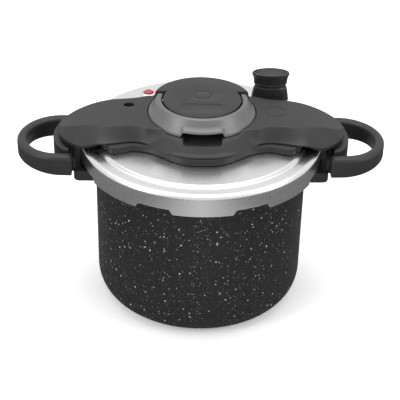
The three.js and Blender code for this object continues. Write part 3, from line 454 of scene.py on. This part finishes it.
silicone = Finish("silicone", Base_Color=grey(0.42), Roughness=0.6)
cloud = silicone.noise(120, 3)
silicone.set(Base_Color=silicone.blend(cloud, grey(0.36), grey(0.46)), Roughness=0.5 + 0.15 * cloud)
silicone.relief(silicone.noise(1500, 2), 0.00005, 0.4)
gasket_low = RIM_HEIGHT + 0.3
gasket_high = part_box("lid_gasket")[1][2] / MM
gasket = turned("gasket", rounded([
    (109, gasket_low, 1), (119, gasket_low, 0.8), (120, gasket_low + 1.2, 0.8), (120, gasket_high, 1.2),
    (115, gasket_high, 1.5), (107, gasket_low + 2.5, 0.8)]), 160)
dress(gasket, silicone, "gasket", "silicone", "lid_gasket")

# ---- Lid shell ----
# Pressed stainless steel: a flat top, a step down to a ring, a rounded shoulder and a skirt cut
# into eight deep tabs. Lugs behind the tabs turn in under the pot's lugs.

LID_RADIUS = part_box("lid_shell")[1][0] / MM
LID_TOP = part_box("lid_shell")[1][2] / MM
SKIRT_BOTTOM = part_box("lid_shell")[0][2] / MM
LID_WALL = 2.5
LID_FLAT_RADIUS = 111.4
RING_TOP = SKIRT_BOTTOM + 23.5
TAB_HALF_ANGLE = 13.55
NOTCH_DEPTH = 5.5
NOTCH_SLOPE = 1.55
NOTCH_BAND = 11
LID_LUG_HALF_ANGLE = 12.95

bm = bmesh.new()
inner_radius = LID_RADIUS - LID_WALL
outline = rounded([
    (0, LID_TOP), (60, LID_TOP), (LID_FLAT_RADIUS, LID_TOP, 1.1), (114.6, RING_TOP + 0.3, 1.3),
    (124.5, RING_TOP, 1.5), (LID_RADIUS - 0.2, RING_TOP - 1.6, 3.6), (LID_RADIUS, SKIRT_BOTTOM + NOTCH_BAND),
    (LID_RADIUS, SKIRT_BOTTOM + 6), (LID_RADIUS, SKIRT_BOTTOM + 3), (LID_RADIUS, SKIRT_BOTTOM, 0.7),
    (inner_radius, SKIRT_BOTTOM, 0.7), (inner_radius, SKIRT_BOTTOM + 3),
    (inner_radius, SKIRT_BOTTOM + NOTCH_BAND), (inner_radius, RING_TOP - LID_WALL, 3),
    (112.1, RING_TOP - LID_WALL, 1), (108.9, LID_TOP - LID_WALL, 1),
    (0, LID_TOP - LID_WALL)], closed=False, steps=8)
spin_outline(bm, outline, 720, closed=False)
bmesh.ops.remove_doubles(bm, verts=bm.verts, dist=1e-4)
for vert in bm.verts:
    x, y, z = vert.co
    above = (z - SKIRT_BOTTOM) / NOTCH_BAND
    if above < 1:
        rise = min(1, max(0, (off_lug(x, y) - TAB_HALF_ANGLE) / NOTCH_SLOPE))
        vert.co.z += NOTCH_DEPTH * rise * (1 - above)
for i in range(360 // LUG_PITCH):
    lug_outline = [(117.6, SKIRT_BOTTOM), (127.5, SKIRT_BOTTOM + 0.4), (127.5, SKIRT_BOTTOM + 4),
                   (117.6, SKIRT_BOTTOM + 4)]
    spin_outline(bm, lug_outline, 24, 2 * LID_LUG_HALF_ANGLE, -90 - LID_LUG_HALF_ANGLE + i * LUG_PITCH)
lid = piece_from("lid", bm, 40)
dress(lid, steel, "lid", "bright_steel", "lid_shell")

# ---- Bridge base ----
# The lower moulding of the bridge, a thick black plate screwed flat to the lid from inside.
# Only its edge shows, as a band under the cover.

BASE_END = 110.4
BASE_LOW = LID_TOP + 0.3
BASE_HIGH = BASE_LOW + 7.5
COVER_LOW = BASE_HIGH + 0.6
SEAT_TOP = COVER_LOW + 12
COVER_TIP = 152
NOSE_START = 100
VALVE_AT = (76.5, 66)
INDICATOR_AT = (-58, 83)
LOCK_PIN_AT = (-77, 13)


def smoothstep(value, low, high):
    t = min(1, max(0, (value - low) / (high - low)))
    return t * t * (3 - 2 * t)


def cover_half_width(x):
    """A round bulge in the middle, a waist, a lobe and a nose."""
    away = abs(x)
    bulge = 35 * exp(-((away / 47.4) ** 3.1))
    lobe = 8 * smoothstep(away, 62, 108)
    nose = max(0, (away - NOSE_START) / (COVER_TIP - NOSE_START))
    return (40 + bulge + lobe) * sqrt(max(0, 1 - nose ** 1.8))


def base_half_width(x):
    """The end corners are rounded off."""
    away = abs(x)
    turn = min(1, max(0, away - 90) / 8)
    rounding = 8 * (1 - sqrt(1 - turn * turn))
    return 46 + 30 * exp(-((away / 44) ** 3)) + 7 * smoothstep(away, 68, 92) - rounding


places = [BASE_END * sin(pi / 2 * (i / 60 - 1)) for i in range(121)]
front = [(x, -min(base_half_width(x), sqrt(max(0, BASE_END ** 2 - x * x)))) for x in places]
back = [(x, min(cover_half_width(x) - 1.5, sqrt(max(0, BASE_END ** 2 - x * x)))) for x in places[1:-1]]
bridge_base = block("bridge_base_plate", front + back[::-1], BASE_LOW, BASE_HIGH, 1.0, 3)
carve(bridge_base, post(4.3, BASE_LOW - 5, BASE_HIGH + 5, LOCK_PIN_AT))
dress(bridge_base, black, "lid", "black_plastic", "bridge_base")

# ---- Bridge cover ----
# The upper shell of the bridge, one black moulding. A flat spine runs along it, and the flanks
# fall away from the spine's crease, round the hub's seat and over noses that hang past the lid.

SEAT_RADIUS = 57.6
LID_SPACE = 115.8
SPINE_RISE, SPINE_LEVEL_END, SPINE_FALL = 3, 60, 18
CREASE_HALF_WIDTH, CREASE_SHIFT = 27.5, 2
CREASE_COLUMN = 0.4
CREASE_ROUNDING, CREASE_START, CREASE_SPAN = 0.003, 0.055, 0.9465
EDGE_RISE, EDGE_DROP, UNDERSIDE_DROP = 1.2, 7, 9
DROP_START, DROP_END = 104, 128
FLANK_HOLLOW, HOLLOW_FADE, HOLLOW_END = 4.8, 110, 140
PIN_HOLE_RADIUS, PIN_HOLE_SQUEEZE = 5.9, 0.75


def spine_height(x):
    run = max(0, abs(x) - SPINE_LEVEL_END) / (COVER_TIP - SPINE_LEVEL_END)
    return SEAT_TOP + SPINE_RISE - SPINE_FALL * run ** 3


def spine_half_width(x):
    """Where the crease runs: wide beside the seat, then narrower, and to a point at the tip."""
    flare = 9 * exp(-max(0, abs(x) - SEAT_RADIUS) / 14)
    nose = max(0, (abs(x) - 95) / (COVER_TIP - 97))
    return (CREASE_HALF_WIDTH + flare) * sqrt(max(0, 1 - nose ** 1.4))


def cover_point(x, column):
    """Across the cover: level to the crease, then down a hollow flank to the edge."""
    half, crease = max(0.1, cover_half_width(x)), max(0.05, spine_half_width(x))
    top = spine_height(x)
    shift = -CREASE_SHIFT * min(1, crease / CREASE_HALF_WIDTH)
    if abs(column) <= CREASE_COLUMN:
        y = crease * column / CREASE_COLUMN + shift
        return x, y, top
    down = (abs(column) - CREASE_COLUMN) / (1 - CREASE_COLUMN)
    y = (crease + (half - crease) * down) * (1 if column > 0 else -1) + shift * (1 - down)
    edge = COVER_LOW + EDGE_RISE - EDGE_DROP * smoothstep(abs(x), DROP_START, DROP_END)
    hollow = FLANK_HOLLOW * down * (1 - down) * (1 - smoothstep(abs(x), HOLLOW_FADE, HOLLOW_END))
    soft = (sqrt(down * down + CREASE_ROUNDING) - CREASE_START) / CREASE_SPAN
    return x, y, top + (edge - top) * soft - hollow * soft


bm = bmesh.new()
grid = bmesh.ops.create_grid(bm, x_segments=180, y_segments=50, size=1)
for vert in grid["verts"]:
    vert.co = cover_point(COVER_TIP * sin(pi / 2 * vert.co.x), vert.co.y)
rim = [e for e in bm.edges if e.is_boundary]
grown = bmesh.ops.extrude_edge_only(bm, edges=rim)["geom"]
for vert in (g for g in grown if isinstance(g, bmesh.types.BMVert)):
    vert.co.z = COVER_LOW - UNDERSIDE_DROP * smoothstep(abs(vert.co.x), DROP_START, DROP_END)
rim = [e for e in bm.edges if e.is_boundary]
bmesh.ops.contextual_create(bm, geom=rim)
cover = piece_from("bridge_cover_shell", bm)
seat_line = rounded([
    (0, COVER_LOW - 3), (74, COVER_LOW - 3), (74, COVER_LOW, 1.5), (67.5, COVER_LOW + 5.5, 5),
    (61, SEAT_TOP - 1.2, 3), (SEAT_RADIUS, SEAT_TOP), (0, SEAT_TOP)], closed=False, steps=8)
carve(cover, turned("seat", seat_line, 192, closed=False), operation="UNION")
pin_hole = post(PIN_HOLE_RADIUS, 0, OVER)
pin_place = Matrix.Translation((MM * LOCK_PIN_AT[0], MM * LOCK_PIN_AT[1], 0))
pin_hole.data.transform(pin_place @ Matrix.Diagonal((1, PIN_HOLE_SQUEEZE, 1, 1)))
carve(cover, post(LID_SPACE, 0, COVER_LOW, steps=256), post(SEAT_RADIUS, SEAT_TOP, OVER, steps=192), pin_hole)

recess = [(-38, SEAT_TOP + 3), (-38, SEAT_TOP - 2.2), (-60, SEAT_TOP - 5.5, 6), (-82, SEAT_TOP + 4)]
bm = bmesh.new()
raise_plan(bm, rounded(recess), -20, 20, 3, 4)
bmesh.ops.rotate(bm, verts=bm.verts, cent=(0, 0, 0), matrix=Matrix(((0, 0, 1), (1, 0, 0), (0, 1, 0))))
carve(cover, piece_from("recess", bm))
ring = turned("ring", [(10.7, SEAT_TOP + 2.2), (11.1, SEAT_TOP + 2.2), (11.1, 220), (10.7, 220)], 64, (78, 1))
carve(cover, ring)
ease(cover, 0.5, 2, 50)
dress(cover, black, "lid", "black_plastic", "bridge_cover")

# ---- Hub cap ----
# The round black cap in the middle of the bridge. Its rear half is larger and flares to the seat,
# and the front half leaves room for the folded grip around it.

CAP_LOW = SEAT_TOP + 0.3
CAP_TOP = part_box("hub_cap")[1][2] / MM
CAP_FRONT, CAP_REAR, CAP_FLARE = 41, 52, 4.5
REAR_START = 18.3

start = atan2(REAR_START, sqrt(CAP_FRONT ** 2 - REAR_START ** 2)) * 180 / pi
rear_start = atan2(REAR_START, sqrt(CAP_REAR ** 2 - REAR_START ** 2)) * 180 / pi
plan = arc(CAP_FRONT, -180 - start, start, 120) + arc(CAP_REAR, rear_start, 180 - rear_start, 110)
bm = bmesh.new()
raise_plan(bm, plan, CAP_LOW, CAP_TOP, 1.3, 4)
for vert in bm.verts:
    reach = hypot(vert.co.x, vert.co.y)
    if vert.co.y >= REAR_START - 0.1 and reach > CAP_FRONT + 1:
        low = 1 - (vert.co.z - CAP_LOW) / (CAP_TOP - CAP_LOW)
        wider = 1 + CAP_FLARE * low * (reach - CAP_FRONT) / (CAP_REAR - CAP_FRONT) / reach
        vert.co.x *= wider
        vert.co.y = REAR_START + (vert.co.y - REAR_START) * wider
cap = piece_from("hub_cap_moulding", bm)
mark = turned("mark", [(8.6, CAP_TOP - 0.5), (9.4, CAP_TOP - 0.5), (9.4, 240), (8.6, 240)], 64, (1, 9))
label_plan = rounded([(-21, -27, 4), (21, -27, 4), (21, -11, 4), (-21, -11, 4)])
label = block("label", label_plan, CAP_TOP - 0.6, 240)
carve(cap, mark, label)
ease(cap, 0.25, 2, 50)
dress(cap, black, "lid", "black_plastic", "hub_cap")

# ---- Grip ----
# A C-shaped bow in satin metallic grey that lies round the hub's front and folds up about an axle
# at its ends. Its foot is raised at the front, so that fingertips reach under it.

PIVOT_Y, PIVOT_Z, END_RADIUS = 9, CAP_LOW + 8.8, 8.3
GRIP_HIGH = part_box("grip_handle")[1][2] / MM
GRIP_INNER, GRIP_OUTER = 42.4, 57
GRIP_NOTCH_HALF, GRIP_NOTCH_RISE, GRIP_NOTCH_BAND = 20, 5.4, 11
GRIP_SWEEP = 230

satin = Finish("satin_grey_paint", Metallic=0.5, Roughness=0.36)
flake = satin.noise(2400, 1)
cloud = satin.noise(40, 2)
satin.set(Base_Color=satin.blend(flake, grey(0.1), grey(0.19)), Roughness=0.36 + 0.1 * cloud)
satin.relief(flake, 0.00003, 0.3)

bm = bmesh.new()
outline = rounded([
    (GRIP_INNER, CAP_LOW, 0.5), (GRIP_OUTER, CAP_LOW, 0.8), (GRIP_OUTER - 0.6, CAP_LOW + 3.4, 1.6),
    (GRIP_OUTER - 4.6, CAP_LOW + 8.2, 3), (GRIP_OUTER - 7.6, CAP_LOW + 14, 4),
    (GRIP_OUTER - 9.6, GRIP_HIGH - 0.4, 1.6), (GRIP_INNER + 1.6, GRIP_HIGH, 0.8),
    (GRIP_INNER, GRIP_HIGH - 1.6, 0.8)])
spin_outline(bm, outline, 300, GRIP_SWEEP, -90 - GRIP_SWEEP / 2)
for vert in bm.verts:
    x, y, z = vert.co
    above = (z - CAP_LOW) / GRIP_NOTCH_BAND
    if above < 1 and y < 0:
        rise = 1 - smoothstep(abs(x), GRIP_NOTCH_HALF - 0.5, GRIP_NOTCH_HALF + 3.5)
        vert.co.z += GRIP_NOTCH_RISE * rise * (1 - above)
grip = piece_from("grip_bow", bm)
bm = bmesh.new()
round_end = arc(END_RADIUS, -90, 90, 32, (PIVOT_Y, PIVOT_Z))
side_view = [(-70, 200), (PIVOT_Y, 200), *round_end, (PIVOT_Y, 240), (-70, 240)]
raise_plan(bm, side_view, -70, 70)
bmesh.ops.rotate(bm, verts=bm.verts, cent=(0, 0, 0), matrix=Matrix(((0, 0, 1), (1, 0, 0), (0, 1, 0))))
carve(grip, piece_from("kept", bm), operation="INTERSECT")
carve(grip, block("inside", [(-41.6, -8), (41.6, -8), (41.6, 70), (-41.6, 70)], 200, 240))
ease(grip, 0.6, 3, 50)
dress(grip, satin, "grip", "satin_grey", "grip_handle")
redress(plain_steel, "grip_axle")
redress(black, "lock_cam")

# ---- Lock bolts and their springs ----
# Pressed steel strips that slide under the cover, pushed out by coil springs and let in by the
# cam on the grip's axle. Their bent tips stand in the brackets' grooves.

for word, side in SIDES:
    redress(plain_steel, f"lock_arm_{word}", f"lock_spring_{word}")
redress(plain_steel, *[f"{kind}_screw_{i}" for kind in ("bridge", "cover") for i in (1, 2, 3, 4)])

# ---- Operating valve ----
# A black bell that sits on the steam pipe, and a waisted knob on top which turns to choose the
# pressure. The knob's top is dished and has a ring of plain marks round a disc.

SKIRT_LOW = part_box("valve_skirt")[0][2] / MM
VALVE_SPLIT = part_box("valve_skirt")[1][2] / MM
VALVE_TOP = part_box("valve_selector")[1][2] / MM
VALVE_RADIUS, WAIST = 20.8, 18
VALVE_DEPTH = 0.5
DIAL_RADIUS = 16.4

gloss = Finish("black_gloss_moulding", Base_Color=grey(0.018), Roughness=0.25)
cloud = gloss.noise(45, 3)
gloss.set(Base_Color=gloss.blend(cloud, grey(0.014), grey(0.024)), Roughness=0.22 + 0.12 * cloud)
gloss.relief(gloss.noise(2200, 2), 0.00003, 0.3)


def flattened(piece):
    """The valve is oval: half as deep as it is wide."""
    back_to_place = Matrix.Translation((0, MM * VALVE_AT[1] * (1 - VALVE_DEPTH), 0))
    piece.data.transform(back_to_place @ Matrix.Diagonal((1, VALVE_DEPTH, 1, 1)))
    return piece


skirt = flattened(turned("valve_bell", rounded([
    (0, VALVE_SPLIT), (WAIST - 0.5, VALVE_SPLIT, 0.6), (WAIST + 0.3, VALVE_SPLIT - 1.4, 1),
    (VALVE_RADIUS - 1, SKIRT_LOW + 8, 3), (VALVE_RADIUS, SKIRT_LOW, 0.5),
    (VALVE_RADIUS - 2.4, SKIRT_LOW, 0.5), (WAIST - 3, VALVE_SPLIT - 3, 1), (0, VALVE_SPLIT - 3)],
    closed=False), 96, VALVE_AT, closed=False))
carve(skirt, post(4.8, VALVE_SPLIT - 5, VALVE_SPLIT + 1, VALVE_AT))
smooth(skirt)
dress(skirt, gloss, "valve", "black_plastic", "valve_skirt")
redress(plain_steel, "valve_weight")

low = VALVE_SPLIT + 0.3
knob = flattened(turned("valve_knob", rounded([
    (0, low), (WAIST - 0.9, low, 0.4), (WAIST - 0.4, low + 2.6, 0.4), (WAIST + 0.5, low + 3.2, 0.5),
    (WAIST + 0.4, low + 6, 3), (VALVE_RADIUS - 1.4, VALVE_TOP - 5, 2.4), (VALVE_RADIUS, VALVE_TOP - 3, 1.4),
    (VALVE_RADIUS - 0.6, VALVE_TOP - 0.6, 1), (VALVE_RADIUS - 3.4, VALVE_TOP, 0.6),
    (VALVE_RADIUS - 4, VALVE_TOP - 1.5, 0.3), (0, VALVE_TOP - 1.5)],
    closed=False), 96, VALVE_AT, closed=False))
dress(knob, gloss, "selector", "black_plastic", "valve_selector")

bm = bmesh.new()
disc_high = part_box("valve_disc")[1][2] / MM
outline = rounded([
    (0, VALVE_TOP - 1.2), (DIAL_RADIUS, VALVE_TOP - 1.2), (DIAL_RADIUS, disc_high, 0.4),
    (11, disc_high, 0.5), (10.5, disc_high - 0.3, 0.3), (0, disc_high - 0.3)], closed=False)
spin_outline(bm, outline, 96, closed=False)
for i in range(16):
    if i % 4 == 0:
        width, reach = 1.5, 3.2
    else:
        width, reach = 0.8, 2.0
    tick_place = Matrix.Translation((DIAL_RADIUS - 1 - reach / 2, 0, disc_high))
    tick = Matrix.Rotation(radians(22.5 * i), 4, "Z") @ tick_place
    bmesh.ops.create_cube(bm, size=1, matrix=tick @ Matrix.Diagonal((reach, width, 0.5, 1)))
bmesh.ops.translate(bm, verts=bm.verts, vec=(*VALVE_AT, 0))
dial = flattened(piece_from("valve_dial", bm))
dress(dial, black, "selector", "black_plastic", "valve_disc")

# ---- Steam pipe, bushes and nuts ----
# Turned steel fittings that stand in holes of the lid. Hexagon nuts inside the lid clamp the pipe
# and the indicator's seat, and the pipe carries the operating valve on its end.

pipe = turned("steam_pipe", rounded([
    (1.5, LID_TOP - 8.5), (4.5, LID_TOP - 8.5, 0.4), (4.5, LID_TOP + 0.3), (8, LID_TOP + 0.3, 0.3),
    (8, LID_TOP + 2.5, 0.5), (4.5, LID_TOP + 3.5, 0.4), (4.5, VALVE_SPLIT - 5, 0.6),
    (1.5, VALVE_SPLIT - 3.5, 0.3)]), 48, VALVE_AT)
dress(pipe, steel, "lid", "bright_steel", "valve_pipe")
redress(steel, "valve_nut", "indicator_nut", "lock_pin_bush", "safety_plunger")

# ---- Pressure indicator ----
# A bright turned bush in the lid behind the bridge, with a thin plate around it. The red pin in
# it is moulded plastic and rises with pressure.

bush = turned("indicator_seat", rounded([
    (2.8, LID_TOP - 8.5), (4, LID_TOP - 8.5, 0.3), (4, LID_TOP + 0.3), (9, LID_TOP + 0.3, 0.3),
    (8.4, LID_TOP + 2.6, 0.8), (6.2, LID_TOP + 3, 0.5), (5.6, LID_TOP + 1.6, 0.3), (2.8, LID_TOP + 1.6)]),
    64, INDICATOR_AT)
plan = rounded([(-9, -11, 4), (6, -11, 4), (8, -5, 3), (8, 6, 6), (-9, 6, 6)])
plan = [(INDICATOR_AT[0] + x, INDICATOR_AT[1] + y) for x, y in plan]
carve(bush, block("indicator_plate", plan, LID_TOP + 0.3, LID_TOP + 1.6, 0.3, 2), operation="UNION")
carve(bush, post(5.5, LID_TOP - 1, LID_TOP + 5, INDICATOR_AT), post(2.8, 150, 250, INDICATOR_AT))
smooth(bush)
dress(bush, steel, "lid", "bright_steel", "indicator_bush")

red = Finish("red_moulding", Base_Color=(0.42, 0.03, 0.07, 1), Roughness=0.3)
cloud = red.noise(300, 2)
red.set(Base_Color=red.blend(cloud, (0.36, 0.02, 0.055, 1), (0.46, 0.035, 0.085, 1)),
        Roughness=0.26 + 0.1 * cloud)
red.relief(cloud, 0.00004, 0.3)
low = LID_TOP + 1.9
indicator = turned("indicator_button", rounded([
    (0, LID_TOP - 10.5), (2.4, LID_TOP - 10.5, 0.5), (2.4, low), (5.1, low, 0.3), (5.1, low + 1.8, 0.8),
    (3.8, low + 2.5, 1), (0, low + 2.7)], closed=False), 64, INDICATOR_AT, closed=False)
dress(indicator, red, "indicator", "red_plastic", "indicator_pin")

# ---- Lock pin ----
# A small turned steel pin, loose in its guide in the bridge's oval hole. It rises under pressure
# and blocks the bolts.

pin = turned("pressure_pin", rounded([
    (0, LID_TOP - 10.5), (2, LID_TOP - 10.5, 0.5), (2, COVER_LOW + 5.5, 0.3), (1.2, COVER_LOW + 6.5, 0.3),
    (0, COVER_LOW + 6.5)], closed=False), 32, LOCK_PIN_AT, closed=False)
dress(pin, plain_steel, "lock_pin", "bright_steel", "lock_pin")

# ---- Safety valve ----
# A turned brass housing behind the hub, clamped by a nut inside the lid. Its sprung plunger
# lifts if the pressure is too high.

brass = Finish("brass", Metallic=1.0, Roughness=0.3)
cloud = brass.noise(160, 3)
brass.set(Base_Color=brass.blend(cloud, (0.55, 0.38, 0.15, 1), (0.68, 0.5, 0.24, 1)),
          Roughness=0.24 + 0.16 * cloud)
brass.relief(cloud, 0.00003, 0.3)
SAFETY_AT = (0, 93)
housing = turned("safety_valve_housing", rounded([
    (2.6, LID_TOP - 9.5), (4.6, LID_TOP - 9.5, 0.3), (4.6, LID_TOP + 0.3), (8, LID_TOP + 0.3, 0.3),
    (8, LID_TOP + 9, 0.7), (6.6, LID_TOP + 10.4, 0.7),
    (2.6, LID_TOP + 10.4, 0.3), (2.6, LID_TOP + 8.6), (5.4, LID_TOP + 8.6),
    (5.4, LID_TOP + 1.4), (2.6, LID_TOP + 1.4)]), 48, SAFETY_AT)
dress(housing, brass, "lid", "brass", "safety_valve_body")
redress(brass, "safety_valve_nut")
redress(plain_steel, "safety_spring")

# ---- Floor, light and camera ----
# A plain pale floor in a white room, with soft lamps above and to both sides of the front. A grey
# card just above the floor shows only in the object's reflections.

bm = bmesh.new()
bmesh.ops.create_grid(bm, x_segments=1, y_segments=1, size=4000)
floor = piece_from("floor", bm)
paper = Finish("pale_floor", Base_Color=grey(0.9), Roughness=0.9, Emission_Color=grey(1),
               Emission_Strength=0.22)
floor.data.materials.append(paper.material)

world = bpy.data.worlds.new("studio")
bpy.context.scene.world = world
world.use_nodes = True
world.node_tree.nodes["Background"].inputs[0].default_value = (1, 1, 1, 1)
world.node_tree.nodes["Background"].inputs[1].default_value = 0.92


def soft_light(name, place, aim, size, watts):
    lamp = bpy.data.lights.new(name, "AREA")
    lamp.shape, lamp.size, lamp.size_y, lamp.energy = "RECTANGLE", size[0], size[1], watts
    lamp_object = bpy.data.objects.new(name, lamp)
    lamp_object.location = place
    lamp_object.rotation_euler = (Vector(aim) - Vector(place)).to_track_quat("-Z", "Y").to_euler()
    bpy.context.scene.collection.objects.link(lamp_object)


CARD_REACH, CARD_HEIGHT = 1500, 2
CARD_FADE = 3.4
card_finish = Finish("grey_card", Roughness=0.9)
aside = card_finish.node("ShaderNodeSeparateXYZ", {}, {0: card_finish.place})
middle = (1 - CARD_FADE * aside.math("ABSOLUTE", aside)).held()
card_finish.set(Base_Color=card_finish.blend(middle, grey(0.1), grey(0.42)))
bm = bmesh.new()
bmesh.ops.create_grid(bm, x_segments=4, y_segments=4, size=CARD_REACH)
bmesh.ops.translate(bm, verts=bm.verts, vec=(0, 0, CARD_HEIGHT))
card = piece_from("card", bm)
card.data.materials.append(card_finish.material)
card.visible_camera = card.visible_diffuse = card.visible_shadow = False

soft_light("top", (0, 0.2, 1.6), (0, 0, 0.15), (1.6, 1.0), 14)
soft_light("left", (-1.4, -0.9, 1.0), (0, 0, 0.12), (0.5, 1.2), 10)
soft_light("right", (1.5, -0.7, 0.9), (0, 0, 0.12), (0.4, 1.2), 7)

AZIMUTH, ELEVATION, ROLL = radians(-1.55), radians(32.27), radians(1.31)
DISTANCE, LOOK_AT = 1.27876, Vector((0.0002, 0, 0.10318))
back = Vector((sin(AZIMUTH) * cos(ELEVATION), -cos(AZIMUTH) * cos(ELEVATION), sin(ELEVATION)))
lens = bpy.data.cameras.new("camera")
lens.sensor_width, lens.lens = 36, 104.31
lens.clip_start, lens.clip_end = 0.05, 50
camera = bpy.data.objects.new("camera", lens)
aimed = (-back).to_track_quat("-Z", "Y").to_matrix().to_4x4()
camera.matrix_world = Matrix.Translation(LOOK_AT + back * DISTANCE) @ aimed @ Matrix.Rotation(ROLL, 4, "Z")
bpy.context.scene.collection.objects.link(camera)
bpy.context.scene.camera = camera
bpy.context.scene.view_settings.view_transform = "Standard"
